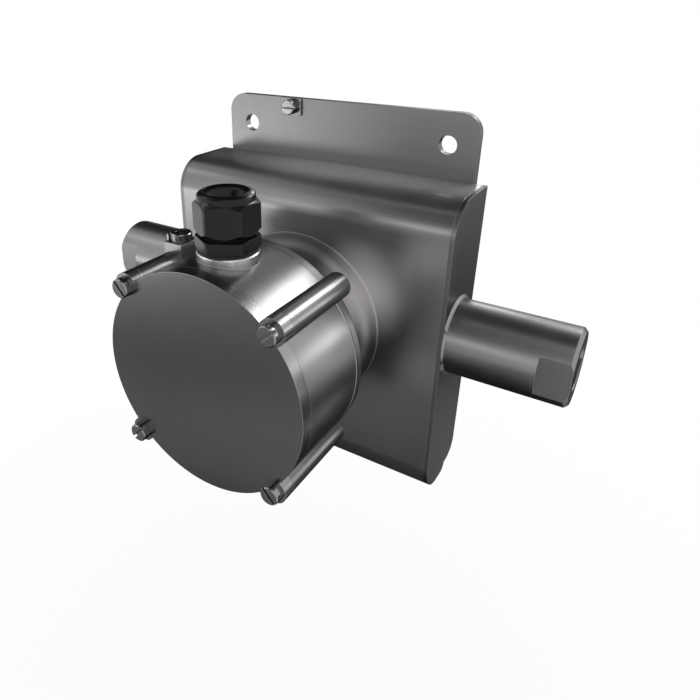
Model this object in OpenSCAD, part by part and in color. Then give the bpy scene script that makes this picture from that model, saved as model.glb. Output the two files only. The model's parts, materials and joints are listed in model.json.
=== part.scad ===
// Wall-mounted Coriolis flow meter with a round terminal housing.
// +X runs along the process pipe, +Y into the wall, +Z up. The origin is on the wall,
// where the axis of the round housing meets it. A "depth" is a distance out from the wall.

/* [Mounting plate] */
// Width of the plate
plate_w = 136; // [124:1:143]
// Thickness of the plate
plate_t = 4; // [3:0.5:6]
// Top edge of the plate above the housing axis
plate_rise = 98.5; // [94:0.5:110]
// Bottom edge of the plate below the housing axis
plate_drop = 66; // [50:1:68]
// Radius of the plate's corners
plate_corner_r = 9; // [3:0.5:12]
// Diameter of the two fixing holes
plate_hole_d = 8.5; // [6.5:0.5:9.5]
// Distance between the fixing holes
plate_hole_pitch = 108; // [90:1:112]
// Fixing holes below the plate's top edge
plate_hole_edge = 14.5; // [10:0.5:18]

/* [Bonding point] */
// Width of the pad on the plate's top edge
pad_w = 12; // [10:0.5:16]
// Height of the pad
pad_h = 8.5; // [8:0.5:13]
// Thickness of the pad
pad_t = 1; // [0.5:0.25:2]
// Place of the pad along the plate
pad_x = -29; // [-36:1:36]
// Thread diameter of the bonding screw
bond_screw_d = 4; // [4:1:5]
// Head diameter of the bonding screw
bond_head_d = 7.5; // [7:0.5:9]
// Head height of the bonding screw
bond_head_h = 3.6; // [2.5:0.1:4]

/* [Sensor case] */
// Width of the case
case_w = 148; // [145:1:160]
// Depth of the case in front of the plate
case_depth = 38; // [36:1:44]
// Top of the case above the housing axis
case_rise = 68.5; // [62:0.5:74]
// Lowest point of the case below the housing axis
case_drop = 82; // [81:0.5:92]
// Bottom of the rear part of the case below the housing axis
rear_drop = 78; // [76:0.5:80]
// Thickness of the sheet
sheet_t = 2; // [1.5:0.25:3]
// Outer radius of the upper bend
bend_top_r = 15.5; // [8:0.5:20]
// Outer radius of the lower bend
bend_low_r = 17; // [8:0.5:20]
// Distance from the back of the case to the lower lip
lip_setback = 11.5; // [10:0.5:14]
// Outer radius of the lip's bend
lip_r = 4; // [3.5:0.25:5]
// Outer radius of the bend at the lower rear edge
rear_r = 9; // [5:0.5:9.5]

/* [Process connections] */
// Outer diameter of the connections
spud_d = 35; // [32:0.5:38]
// Length over both connection faces
face_to_face = 254; // [240:1:280]
// Height of the pipe axis above the housing axis
pipe_z = 3.5; // [0:0.5:6]
// Depth of the pipe axis
pipe_depth = 25.5; // [24:0.5:27]
// Width across the wrench flats
wrench_flat = 30; // [28:0.5:31]
// Length of the wrench flats
flat_len = 13.5; // [8:0.5:16]
// Minor diameter of the pipe thread
thread_d = 18.63; // [15:0.01:20]
// Depth of the threaded bore
thread_len = 20; // [12:0.5:22]
// Chamfer on the connection's outer edge
spud_chamfer = 1.5; // [0.5:0.25:2]

/* [Measuring tube] */
// Outer diameter of the measuring tube
tube_d = 12; // [10:0.5:13]
// Wall of the measuring tube
tube_wall = 1; // [0.75:0.25:1.5]
// Distance from the middle to each leg
leg_x = 44; // [42:1:46]
// Bend radius at the top of each leg
bend_leg_r = 14; // [12:1:16]
// Bend radius at the foot of each leg
bend_foot_r = 16; // [13:1:22]
// How far the loop hangs below the pipe axis
loop_drop = 66; // [63:0.5:67]
// How far the tube reaches into each connection
tube_socket = 8.5; // [5:0.5:12]

/* [Coils and magnets] */
// Outer diameter of a coil
coil_d = 16; // [13:0.5:18]
// Length of a coil
coil_len = 5; // [4:0.5:6]
// Diameter of a magnet
magnet_d = 7; // [5:0.5:7.5]
// Length of a magnet
magnet_len = 6; // [5:0.5:6.5]
// Radial gap between a magnet and its coil
coil_gap = 1; // [0.8:0.1:1.2]
// Pick-off coils below the pipe axis
pickoff_drop = 33; // [30:1:35]
// Thickness of the frame that holds the coils
frame_t = 2; // [1.5:0.25:2.25]

/* [Terminal housing] */
// Outer diameter of the housing
housing_d = 100; // [98:0.5:108]
// Wall of the housing
housing_wall = 5; // [4:0.25:5.5]
// Thickness of the lid
lid_t = 6; // [5:0.5:8]
// From the gland's boss to the lid's seam
seam_gap = 4.1; // [3.5:0.1:8]
// From the gland's boss back to the rear cap's weld
weld_gap = 6.6; // [5:0.1:8]
// Thickness of the rear wall
rear_wall = 4; // [3:0.5:5]
// Length of the rear cap's rim
cap_rim = 6; // [5.5:0.5:8]
// Outer diameter of the neck
neck_d = 72; // [68:1:76]
// Wall of the neck
neck_wall = 4; // [3:0.5:5]
// Diameter of the neck's welding flange
flange_d = 87; // [84:1:94]
// Thickness of the flange at its edge
flange_t = 0.8; // [0.6:0.1:2]
// Radius where the neck meets its flange
flare_r = 5; // [3:0.5:5.5]
// Radius where the neck meets the rear wall
neck_fillet_r = 6; // [3:0.5:7]

/* [Lid fixing] */
// Diameter of the screw posts along the housing
post_d = 11.5; // [11:0.25:13]
// How far the posts' axes stand out from the housing's surface
post_out = 1.5; // [1:0.1:2.5]
// Thread diameter of the cover screws
cover_screw_d = 5; // [5:0.5:6]
// Head diameter of the cover screws
cover_head_d = 8.5; // [8.5:0.1:10]
// Head height of the cover screws
cover_head_h = 3.8; // [3:0.1:6]
// Length of the cover screws under the head
cover_screw_len = 24; // [18:1:27]
// Depth of the tapped holes in the posts
post_hole_len = 22; // [20:1:26]
// Width of the screw slots
slot_w = 1.2; // [0.8:0.1:1.6]
// Depth of the screw slots
slot_depth = 1.8; // [1:0.1:2.5]
// Length of the lid's spigot
spigot_len = 6; // [5:0.5:6.5]
// Thickness of the spigot's wall
spigot_wall = 5; // [4:0.25:6]
// Thickness of the lid's sealing ring
o_ring_t = 2; // [1.6:0.1:2.4]

/* [Cable gland] */
// Depth of the gland's axis
gland_depth = 95.5; // [93:0.5:97]
// Diameter of the welded boss
boss_d = 25.8; // [25:0.2:28]
// Height of the boss above the housing's surface
boss_h = 3; // [2.5:0.5:8]
// Thread diameter of the gland
gland_thread_d = 20; // [16:1:20]
// Width across the gland's flats
gland_af = 24; // [22.5:0.5:25]
// Thickness of the gland's sealing washer
gland_washer_t = 1; // [0.8:0.1:2]
// Height of the body's hexagon
gland_hex_h = 5.3; // [4:0.1:8]
// Gap between the hexagons
gland_notch_h = 1.3; // [1:0.1:2]
// Height of the dome nut's hexagon
nut_hex_h = 12.6; // [10:0.1:14]
// Height of the dome above the hexagon
nut_dome_h = 4; // [2.5:0.1:5]
// Diameter of the cable hole through the dome
cable_hole_d = 13; // [11:0.5:14]
// Inner diameter of the sealing insert
seal_hole_d = 10; // [6:0.5:10.5]

/* [Earth terminal] */
// Width of the earth block
earth_w = 10; // [9:0.5:12]
// Length of the earth block along the housing
earth_l = 12; // [10:0.5:14]
// Height of the earth block
earth_h = 7.7; // [7:0.1:9]
// From the post's axis to the middle of the earth block, towards the gland
earth_shift = 1.4; // [1:0.1:3]
// Top of the earth block above the post
earth_rise = 3.3; // [2.5:0.1:4.5]
// From the rear cap's weld to the earth block
earth_gap = 3; // [1:0.5:6]
// Thickness of the clamp plate
clamp_t = 1; // [0.8:0.1:1.6]
// Thread diameter of the earth screw
earth_screw_d = 6; // [4:0.5:6]
// Head diameter of the earth screw
earth_head_d = 9.6; // [8:0.1:9.6]
// Head height of the earth screw
earth_head_h = 3.8; // [3.5:0.1:6]
// Width across the flats of its hexagon socket
socket_af = 5; // [3:0.5:5]

/* [Circuit board] */
// From the circuit board's edge to the housing's wall
board_gap = 4; // [3:0.5:6]
// Thickness of the circuit board
board_t = 1.6; // [1:0.1:2.4]
// Length of the board's standoffs
standoff_len = 6; // [5:0.5:7]
// From the circuit board's edge in to each standoff's axis
standoff_edge = 5.5; // [4.5:0.1:7]
// Number of wires that the terminal block takes
terminal_count = 8; // [4:1:10]
// Distance between terminals
terminal_pitch = 5; // [4.5:0.25:5]
// Height of the terminal block in front of the board
terminal_h = 12; // [10:0.5:13]
// Diameter of the feedthrough's circle of pins
pin_circle_d = 24; // [20:1:30]
// Number of feedthrough pins
pin_count = 12; // [6:1:16]

/* [Hidden] */
$fn = 96;

// Clearances
run_gap = 0.05;   // radial, between pieces that turn or slide
slip_gap = 0.1;   // radial, between pieces that are put together by hand
cut = 1;          // how far a cutting tool runs past the face it cuts
edge = 0.4;       // small edge breaks

slot_angles = [-49, 42, 49, -47];   // of the cover screws: top left, top right, bottom left, right

// Depths out from the wall
case_front = plate_t + case_depth;
lid_back = gland_depth + boss_d / 2 + seam_gap;
lid_face = lid_back + lid_t;
tube_back = gland_depth - boss_d / 2 - weld_gap;
housing_back = tube_back - cap_rim;
neck_front = housing_back - neck_fillet_r;   // where the neck is welded to the rear cap
earth_depth = tube_back + earth_gap + earth_l / 2;
floor_depth = housing_back + rear_wall;
board_back = floor_depth + standoff_len;
board_front = board_back + board_t;
inner_back = plate_t + sheet_t;

// Radii
housing_r = housing_d / 2;
housing_in_r = housing_r - housing_wall;
neck_r = neck_d / 2;
neck_in_r = neck_r - neck_wall;
flange_r = flange_d / 2;
spigot_r = housing_in_r - slip_gap;
post_r = post_d / 2;
post_offset = (housing_r + post_out) / sqrt(2);
board_r = housing_in_r - board_gap;
standoff_offset = (board_r - standoff_edge) / sqrt(2);
tube_r = tube_d / 2;
anchor_hole_r = tube_r + run_gap;
cover_shank_r = cover_screw_d / 2 - run_gap;

// Heights, and the place of the earth block beside the top left post
plate_hole_z = plate_rise - plate_hole_edge;
boss_top = housing_r + boss_h;
earth_x = post_offset - earth_shift;
earth_top = post_offset + post_r + earth_rise;
gland_base = boss_top + gland_washer_t;
notch_z = gland_base + gland_hex_h;
nut_z = notch_z + gland_notch_h;
nut_top = nut_z + nut_hex_h + nut_dome_h;
loop_z = pipe_z - loop_drop;
pickoff_z = pipe_z - pickoff_drop;

case_in_x = case_w / 2 - sheet_t;
spud_end = face_to_face / 2;
post_places = [for (sx = [-1, 1], sz = [-1, 1]) [sx * post_offset, sz * post_offset]];
standoff_places = [for (sx = [-1, 1], sz = [-1, 1])
    [sx * standoff_offset, sz * standoff_offset]];

// Places its children at a depth, with their +Z pointing out from the wall
module at_depth(d) translate([0, -d, 0]) rotate([90, 0, 0]) children();

// Extrudes a (depth, height) outline along X
module along_x(from, length)
    translate([from, 0, 0]) rotate([90, 0, 90]) linear_extrude(length)
        mirror([1, 0]) children();

// Quarter disc in the quadrant that starts at angle a
module quarter(r, a) rotate(a) intersection() { circle(r); square(r); }

module ring(outer_r, inner_r, h) difference() {
    cylinder(h = h, r = outer_r);
    translate([0, 0, -cut]) cylinder(h = h + 2 * cut, r = inner_r);
}

module rounded_square(w, h, r) {
    translate([r, 0]) square([w - 2 * r, h]);
    translate([0, r]) square([w, h - 2 * r]);
    for (x = [r, w - r], y = [r, h - r]) translate([x, y]) circle(r);
}

// Cylinder from point a to point b
module rod(a, b, r) {
    d = b - a;
    translate(a) rotate([0, acos(d.z / norm(d)), atan2(d.y, d.x)])
        cylinder(h = norm(d), r = r);
}

// Cheese-head screw with its head's underside at z = 0 and its slot at an angle
module slotted_screw(head_d, head_h, shank_r, length, angle) difference() {
    union() {
        cylinder(h = head_h - edge, d = head_d);
        translate([0, 0, head_h - edge])
            cylinder(h = edge, d1 = head_d, d2 = head_d - 2 * edge);
        translate([0, 0, -length]) cylinder(h = length + cut / 2, r = shank_r);
    }
    rotate(angle) translate([-head_d, -slot_w / 2, head_h - slot_depth])
        cube([2 * head_d, slot_w, slot_depth + cut]);
}

// Hexagon with one corner towards +Y
module hexagon(af, h) rotate(30) cylinder(h = h, d = af / cos(30), $fn = 6);

// ---- Mounting plate ----

module plate_outline() translate([-plate_w / 2, -plate_drop])
    rounded_square(plate_w, plate_drop + plate_rise, plate_corner_r);

module mounting_plate() color("gray") difference() {
    at_depth(0) linear_extrude(plate_t) plate_outline();
    for (s = [-1, 1]) translate([s * plate_hole_pitch / 2, 0, plate_hole_z])
        at_depth(-cut) cylinder(h = plate_t + 2 * cut, d = plate_hole_d);
    translate([pad_x, 0, plate_rise - pad_h / 2])
        at_depth(-cut) cylinder(h = plate_t + 2 * cut, d = bond_screw_d);
}

module bonding_pad() color("darkgray") difference() {
    translate([pad_x - pad_w / 2, 0, plate_rise - pad_h]) at_depth(plate_t)
        linear_extrude(pad_t) rounded_square(pad_w, pad_h, cut);
    translate([pad_x, 0, plate_rise - pad_h / 2]) at_depth(plate_t - cut)
        cylinder(h = pad_t + 2 * cut, d = bond_screw_d);
}

module bonding_screw() color("silver")
    translate([pad_x, 0, plate_rise - pad_h / 2]) at_depth(plate_t + pad_t)
        slotted_screw(bond_head_d, bond_head_h, bond_screw_d / 2 - run_gap,
            plate_t + pad_t - edge, 0);

// ---- Sensor case: bent cover, two side plates and a back ----

// Side outline of the case in (depth, height), drawn inset by the sheet for its inside
module case_outline(inset = 0) {
    back = plate_t + inset;
    front = case_front - inset;
    top_c = [case_front - bend_top_r, case_rise - bend_top_r];
    low_c = [case_front - bend_low_r, bend_low_r - case_drop];
    lip_c = [plate_t + lip_setback + lip_r, lip_r - case_drop];
    rear_c = [plate_t + rear_r, rear_r - rear_drop];
    lip_back = plate_t + lip_setback + inset;
    // upright part between the bends
    translate([back, rear_c.y]) square([low_c.x - back, top_c.y - rear_c.y]);
    translate([low_c.x, low_c.y]) square([front - low_c.x, top_c.y - low_c.y]);
    // top flange and upper bend
    translate([back, top_c.y]) square([top_c.x - back, bend_top_r - inset]);
    translate(top_c) quarter(bend_top_r - inset, 0);
    // lower bend and the flange to the lip
    translate(low_c) quarter(bend_low_r - inset, 270);
    translate([lip_back, lip_c.y]) square([low_c.x - lip_back, low_c.y - lip_c.y]);
    translate([lip_c.x, inset - case_drop])
        square([low_c.x - lip_c.x, lip_c.y + case_drop - inset]);
    translate(lip_c) quarter(lip_r - inset, 180);
    // rear part and its rounded lower edge
    translate([rear_c.x, inset - rear_drop])
        square([low_c.x - rear_c.x, rear_c.y + rear_drop - inset]);
    translate(rear_c) quarter(rear_r - inset, 180);
}

module case_back() color("dimgray")
    translate([-case_in_x, 0, rear_r - rear_drop]) at_depth(plate_t)
        cube([2 * case_in_x, case_rise + rear_drop - rear_r, sheet_t]);

module case_cover() color("dimgray") difference() {
    along_x(-case_in_x, 2 * case_in_x) difference() {
        case_outline();
        case_outline(sheet_t);
        translate([plate_t - cut, rear_r - rear_drop])
            square([sheet_t + cut, case_rise + rear_drop]);
    }
    at_depth(case_front - sheet_t - cut)
        cylinder(h = sheet_t + 2 * cut, r = neck_in_r);
}

spud_spigot_wall = 5;   // metal around the tube where a connection passes through the side
spud_spigot_r = tube_r + spud_spigot_wall;

module case_side() color("gray") difference() {
    along_x(case_in_x, sheet_t) case_outline();
    translate([case_in_x - cut, -pipe_depth, pipe_z]) rotate([0, 90, 0])
        cylinder(h = sheet_t + 2 * cut, r = spud_spigot_r);
}

// ---- Process connections ----

bead_w = 1.2;   // weld bead at the side plate
bead_h = 0.4;

module connection() color("silver") translate([0, -pipe_depth, pipe_z]) rotate([0, 90, 0]) {
    spud_r = spud_d / 2;
    flat_from = spud_end - flat_len;
    throat = 1;   // entry chamfer of the thread
    difference() {
        union() {
            translate([0, 0, case_in_x]) cylinder(h = sheet_t + cut, r = spud_spigot_r);
            translate([0, 0, case_w / 2])
                cylinder(h = spud_end - spud_chamfer - case_w / 2, r = spud_r);
            translate([0, 0, case_w / 2]) cylinder(h = bead_w, r1 = spud_r + bead_h,
                r2 = spud_r);
            translate([0, 0, spud_end - spud_chamfer])
                cylinder(h = spud_chamfer, r1 = spud_r, r2 = spud_r - spud_chamfer);
        }
        for (s = [-1, 1]) translate([-spud_d, s * (wrench_flat / 2 + spud_d / 2) - spud_d / 2,
            flat_from]) cube([2 * spud_d, spud_d, flat_len + cut]);
        translate([0, 0, spud_end - thread_len]) cylinder(h = thread_len + cut, d = thread_d);
        translate([0, 0, spud_end - throat])
            cylinder(h = throat, d1 = thread_d, d2 = thread_d + 2 * throat);
        translate([0, 0, case_in_x - cut])
            cylinder(h = spud_end - case_in_x, r = tube_r - tube_wall);
        translate([0, 0, case_in_x - cut])
            cylinder(h = tube_socket + cut, r = anchor_hole_r);
    }
}

// ---- Terminal housing ----

// Neck with a thin welding flange on the case. Its outline is (radius, depth).
module neck_outline() {
    flange_front = case_front + flange_t;
    translate([neck_in_r, case_front]) square([neck_wall, neck_front - case_front]);
    polygon([[neck_in_r, case_front], [flange_r, case_front],
        [flange_r, flange_front - edge], [flange_r - edge, flange_front],
        [neck_in_r, flange_front]]);
    difference() {
        translate([neck_r, flange_front - edge]) square([flare_r, flare_r + edge]);
        translate([neck_r + flare_r, flange_front + flare_r]) circle(flare_r);
    }
}

// Turned rear cap: a fillet up from the neck, the rear wall, a rim and a bevelled edge
module cap_outline() {
    bevel = 1;
    translate([neck_in_r, neck_front]) square([neck_wall, neck_fillet_r]);
    difference() {
        translate([neck_r, neck_front]) square(neck_fillet_r);
        translate([neck_r + neck_fillet_r, neck_front]) circle(neck_fillet_r);
    }
    difference() {
        union() {
            translate([neck_in_r, housing_back]) square([housing_r - neck_in_r, rear_wall]);
            translate([housing_in_r, housing_back]) square([housing_wall, cap_rim]);
        }
        polygon([[housing_r - bevel, housing_back - cut], [housing_r + cut, housing_back - cut],
            [housing_r + cut, housing_back + 3 * bevel], [housing_r, housing_back + 2 * bevel],
            [housing_r - bevel, housing_back]]);
    }
}

module post_shapes(from, to, r) for (p = post_places)
    translate([p.x, 0, p.y]) at_depth(from) cylinder(h = to - from, r = r);

module housing_neck() color("gray") at_depth(0) rotate_extrude() neck_outline();

module rear_cap() color("gray") difference() {
    at_depth(0) rotate_extrude() cap_outline();
    post_shapes(housing_back - cut, tube_back + cut, post_r);
    for (p = standoff_places) translate([p.x, 0, p.y]) at_depth(floor_depth - standoff_tail)
        cylinder(h = standoff_tail + cut, r = standoff_tail_r);
}

module housing_tube() color("silver") difference() {
    at_depth(tube_back) ring(housing_r, housing_in_r, lid_back - tube_back);
    post_shapes(tube_back - cut, lid_back + cut, post_r);
    translate([0, -gland_depth, 0]) cylinder(h = 2 * housing_r, r = boss_spigot_r);
}

module lid_posts() color("silver") difference() {
    post_shapes(housing_back, lid_back, post_r);
    post_shapes(lid_back - post_hole_len, lid_back + cut, cover_screw_d / 2);
}

// ---- Lid ----

groove_w = 1.4 * o_ring_t;
groove_mid = lid_back - spigot_len / 2;

module lid() color("slategray") difference() {
    union() {
        at_depth(lid_back) cylinder(h = lid_t, r = housing_r);
        post_shapes(lid_back, lid_face, post_r);
        at_depth(lid_back - spigot_len)
            ring(spigot_r, spigot_r - spigot_wall, spigot_len + cut / 2);
    }
    at_depth(groove_mid - groove_w / 2) difference() {
        cylinder(h = groove_w, r = housing_r);
        translate([0, 0, -cut]) cylinder(h = groove_w + 2 * cut, r = spigot_r - o_ring_t);
    }
    post_shapes(lid_back - cut, lid_face + cut, cover_screw_d / 2 + slip_gap);
}

module lid_o_ring() color("black") at_depth(groove_mid) rotate_extrude()
    translate([spigot_r - o_ring_t / 2 + run_gap / 2, 0]) circle(o_ring_t / 2 - run_gap / 2);

module cover_screw(sx, sz, angle) color("lightgray")
    translate([sx * post_offset, 0, sz * post_offset]) at_depth(lid_face)
        slotted_screw(cover_head_d, cover_head_h, cover_shank_r, cover_screw_len, angle);

// ---- Cable gland ----

boss_step = 1;      // the boss's spigot is this much smaller in radius
boss_root = 3;      // how far the spigot reaches in past the housing's wall
boss_r = boss_d / 2;
boss_spigot_r = boss_r - boss_step;

// The boss is cut to the housing's round wall, and only its spigot passes through
module gland_boss() color("silver") difference() {
    translate([0, -gland_depth, 0]) difference() {
        union() {
            cylinder(h = boss_top - edge, r = boss_r);
            translate([0, 0, boss_top - edge]) cylinder(h = edge, r1 = boss_r, r2 = boss_r - edge);
        }
        cylinder(h = 2 * boss_top, r = gland_thread_d / 2);
    }
    difference() {
        at_depth(0) cylinder(h = lid_face, r = housing_r);
        translate([0, -gland_depth, 0]) cylinder(h = boss_top, r = boss_spigot_r);
    }
    at_depth(0) cylinder(h = lid_face, r = housing_in_r);
}

module gland_washer() color("dimgray") translate([0, -gland_depth, boss_top])
    ring(gland_af / 2, gland_thread_d / 2, gland_washer_t);

sleeve_r = gland_thread_d / 2 - 0.3;      // outside of the body's clamping sleeve
sleeve_in_r = sleeve_r - 1.5;
seal_base = gland_base + 2;
sleeve_top = nut_z + 0.6 * nut_hex_h;
cone_h = 3;      // height of the cone that presses on the seal
corner_r = gland_af / 2 / cos(30);       // out to the hexagons' corners
body_foot = 1.2;                         // bevel under the body's hexagon

module gland_body() color("black") translate([0, -gland_depth, 0]) difference() {
    union() {
        translate([0, 0, housing_in_r - run_gap])
            cylinder(h = gland_base - housing_in_r + cut, r = gland_thread_d / 2 - run_gap);
        translate([0, 0, gland_base]) intersection() {
            hexagon(gland_af, gland_hex_h);
            rotate_extrude() polygon([[0, 0], [corner_r - body_foot - edge, 0],
                [corner_r - edge, body_foot], [corner_r - edge, gland_hex_h - body_foot / 2],
                [corner_r - edge - body_foot / 2, gland_hex_h], [0, gland_hex_h]]);
        }
        translate([0, 0, gland_base]) cylinder(h = sleeve_top - gland_base, r = sleeve_r);
    }
    translate([0, 0, housing_in_r - cut]) cylinder(h = sleeve_top, r = cable_hole_d / 2);
    translate([0, 0, seal_base]) cylinder(h = sleeve_top, r = sleeve_in_r);
}

module gland_seal() color("darkslategray") translate([0, -gland_depth, seal_base])
    ring(sleeve_in_r - run_gap, seal_hole_d / 2, sleeve_top - seal_base - run_gap);

// Dome nut: hexagon with a bevelled foot, a rounded shoulder and a wide mouth
module gland_nut() color("black") translate([0, -gland_depth, nut_z]) {
    foot = 1.8;
    rim = 1.4;
    dome_r = gland_af / 2 - 0.4;
    mouth_r = dome_r - rim;
    height = nut_hex_h + nut_dome_h;
    hole_z = sleeve_top - nut_z + run_gap;
    difference() {
        union() {
            intersection() {
                hexagon(gland_af, nut_hex_h + cut);
                rotate_extrude() polygon([[0, 0], [corner_r - foot - edge, 0],
                    [corner_r - edge, foot], [corner_r - edge, nut_hex_h - 0.6 * foot],
                    [dome_r, nut_hex_h + 0.4 * foot], [0, nut_hex_h + 0.4 * foot]]);
            }
            translate([0, 0, nut_hex_h]) cylinder(h = nut_dome_h - rim, r = dome_r);
            translate([0, 0, height - rim]) rotate_extrude() {
                square([dome_r - rim, rim]);
                translate([dome_r - rim, 0]) quarter(rim, 0);
            }
        }
        translate([0, 0, -cut]) cylinder(h = hole_z + cut, r = sleeve_r + run_gap);
        cylinder(h = height + cut, r = cable_hole_d / 2);
        translate([0, 0, hole_z + cone_h]) cylinder(h = height - hole_z - cone_h,
            r1 = cable_hole_d / 2, r2 = mouth_r);
        translate([0, 0, height - run_gap]) cylinder(h = cut, r = mouth_r);
    }
}

// ---- Earth terminal ----

earth_hole_len = 3;
earth_hole_z = earth_top - earth_hole_len;

module earth_block() color("silver") difference() {
    translate([-earth_x - earth_w / 2, -earth_depth - earth_l / 2, earth_top - earth_h])
        cube([earth_w, earth_l, earth_h]);
    at_depth(0) cylinder(h = lid_face, r = housing_r);
    post_shapes(0, lid_face, post_r);
    translate([-earth_x, -earth_depth, earth_hole_z])
        cylinder(h = earth_w, r = earth_screw_d / 2);
}

module earth_clamp() color("lightgray") translate([-earth_x, -earth_depth, earth_top]) {
    lug_h = 2.5;
    difference() {
        translate([-earth_w / 2, -earth_l / 2, 0]) cube([earth_w, earth_l, clamp_t]);
        translate([0, 0, -cut]) cylinder(h = clamp_t + 2 * cut, r = earth_screw_d / 2 + slip_gap);
    }
    translate([-earth_w / 2 - clamp_t, -earth_l / 4, 0])
        cube([clamp_t + run_gap, earth_l / 2, clamp_t + lug_h]);
}

module earth_screw() color("silver")
    translate([-earth_x, -earth_depth, earth_top + clamp_t]) difference() {
        union() {
            cylinder(h = earth_head_h - edge, d = earth_head_d);
            translate([0, 0, earth_head_h - edge])
                cylinder(h = edge, d1 = earth_head_d, d2 = earth_head_d - 2 * edge);
            translate([0, 0, earth_hole_z - earth_top - clamp_t + run_gap])
                cylinder(h = earth_top + clamp_t - earth_hole_z, r = earth_screw_d / 2 - run_gap);
        }
        translate([0, 0, earth_head_h / 2]) hexagon(socket_af, earth_head_h);
    }

// ---- Inside the case ----

anchor_t = 8;
anchor_gap = 2.5;      // from the side plate to an anchor
anchor_cover = 4;      // metal in front of the tube
anchor_margin = 6.5;   // metal above and below the tube
anchor_x = case_in_x - anchor_gap - anchor_t;
anchor_front = pipe_depth + tube_r + anchor_cover;

module tube_anchors() color("gray") difference() {
    for (s = [0, 1]) mirror([s, 0, 0]) translate([anchor_x, -anchor_front,
        pipe_z - tube_r - anchor_margin])
        cube([anchor_t, anchor_front - inner_back, 2 * (tube_r + anchor_margin)]);
    translate([-case_w / 2, -pipe_depth, pipe_z]) rotate([0, 90, 0])
        cylinder(h = case_w, r = anchor_hole_r);
}

module tube_section() difference() { circle(tube_r); circle(tube_r - tube_wall); }

// One half of the loop: inlet, bend, leg, bend and half of the foot
module half_loop() {
    top_c = leg_x + bend_leg_r;
    foot_c = leg_x - bend_foot_r;
    leg_len = loop_drop - bend_leg_r - bend_foot_r;
    translate([top_c, 0, 0]) rotate([0, 90, 0])
        linear_extrude(case_in_x + tube_socket - top_c) tube_section();
    translate([top_c, 0, -bend_leg_r]) rotate([90, 0, 0]) rotate(90) rotate_extrude(angle = 90)
        translate([bend_leg_r, 0]) tube_section();
    translate([leg_x, 0, -bend_leg_r - leg_len]) linear_extrude(leg_len) tube_section();
    translate([foot_c, 0, bend_foot_r - loop_drop]) rotate([90, 0, 0]) rotate(270)
        rotate_extrude(angle = 90) translate([bend_foot_r, 0]) tube_section();
    translate([0, 0, -loop_drop]) rotate([0, 90, 0]) linear_extrude(foot_c) tube_section();
}

module measuring_tube() color("lightsteelblue") translate([0, -pipe_depth, pipe_z]) {
    half_loop();
    mirror([1, 0, 0]) half_loop();
}

holder_wall = 1.5;
holder_w = 10;
magnet_gap = 1.5;                              // from the frame to a magnet's free end
coil_seat = inner_back + frame_t;
magnet_back = coil_seat + magnet_gap;
magnet_front = magnet_back + magnet_len;
coil_hole_r = magnet_d / 2 + coil_gap;

// Places its children at the drive coil and at both pick-off coils
module at_coils() {
    translate([0, 0, loop_z]) rotate([0, 90, 0]) children();
    for (s = [-1, 1]) translate([s * leg_x, 0, pickoff_z]) children();
}

module magnet_holders() color("silver") difference() {
    at_coils() {
        translate([0, -pipe_depth, -holder_w / 2])
            cylinder(h = holder_w, r = tube_r + holder_wall);
        at_depth(magnet_front)
            cylinder(h = pipe_depth - magnet_front, r = magnet_d / 2 + 1);
    }
    at_coils() translate([0, -pipe_depth, -holder_w])
        cylinder(h = 2 * holder_w, r = tube_r);
}

module magnets() color("darkgray") at_coils()
    at_depth(magnet_back) cylinder(h = magnet_len, r = magnet_d / 2);

module coils() color("peru") at_coils()
    at_depth(coil_seat) ring(coil_d / 2, coil_hole_r, coil_len);

module coil_frame() color("gray") {
    bar_h = coil_d + 2;
    at_depth(inner_back) linear_extrude(frame_t) {
        translate([-leg_x - bar_h / 2, pickoff_z - bar_h / 2])
            rounded_square(2 * leg_x + bar_h, bar_h, 3);
        foot_z = max(loop_z - coil_d / 2, rear_r - rear_drop + edge);
        translate([-bar_h / 2, foot_z]) square([bar_h, pickoff_z - foot_z]);
    }
}

probe_r = 2;
probe_len = 11;
probe_z = pickoff_z + holder_w;
band_t = 0.6;
probe_out = tube_r + probe_r + 1.5 * band_t;   // probe's axis from the tube's axis

module temperature_sensor() color("lightgray")
    translate([-leg_x, -pipe_depth - probe_out, probe_z])
        cylinder(h = probe_len, r = probe_r);

module sensor_band() color("silver") {
    band_h = 3;
    translate([-leg_x, -pipe_depth, probe_z + probe_len / 2]) difference() {
        union() {
            cylinder(h = band_h, r = tube_r + band_t);
            translate([0, -probe_out, 0]) cylinder(h = band_h, r = probe_r + band_t);
        }
        translate([0, 0, -cut]) cylinder(h = band_h + 2 * cut, r = tube_r);
        translate([0, -probe_out, -cut]) cylinder(h = band_h + 2 * cut, r = probe_r);
    }
}

// ---- Between the case and the terminal housing ----

feed_t = 6;
feed_back = neck_front - feed_t;
pin_r = 0.7;
pin_reach = 3;
wire_r = 0.9;
wire_depth = coil_seat + coil_len / 2;

function pin_place(i) = let (a = 360 * i / pin_count)
    [pin_circle_d / 2 * sin(a), pin_circle_d / 2 * cos(a)];

module feedthrough() color("slategray") difference() {
    at_depth(feed_back) cylinder(h = feed_t, r = neck_in_r - run_gap);
    for (i = [0 : pin_count - 1]) translate([pin_place(i).x, 0, pin_place(i).y])
        at_depth(feed_back - cut) cylinder(h = feed_t + 2 * cut, r = pin_r);
}

module feedthrough_pins() color("goldenrod")
    for (i = [0 : pin_count - 1]) translate([pin_place(i).x, 0, pin_place(i).y])
        at_depth(feed_back - pin_reach)
            cylinder(h = board_back - feed_back + pin_reach, r = pin_r);

// A lead from a coil's upper rim to a pin of the feedthrough
module lead(from, pin) {
    start = [from.x, -wire_depth, from.y];
    turn = [pin_place(pin).x, -wire_depth, pin_place(pin).y];
    end = [pin_place(pin).x, -feed_back + pin_reach, pin_place(pin).y];
    rod(start, turn, wire_r);
    rod(turn, end, wire_r);
    translate(turn) sphere(wire_r * 1.3);
}

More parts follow.
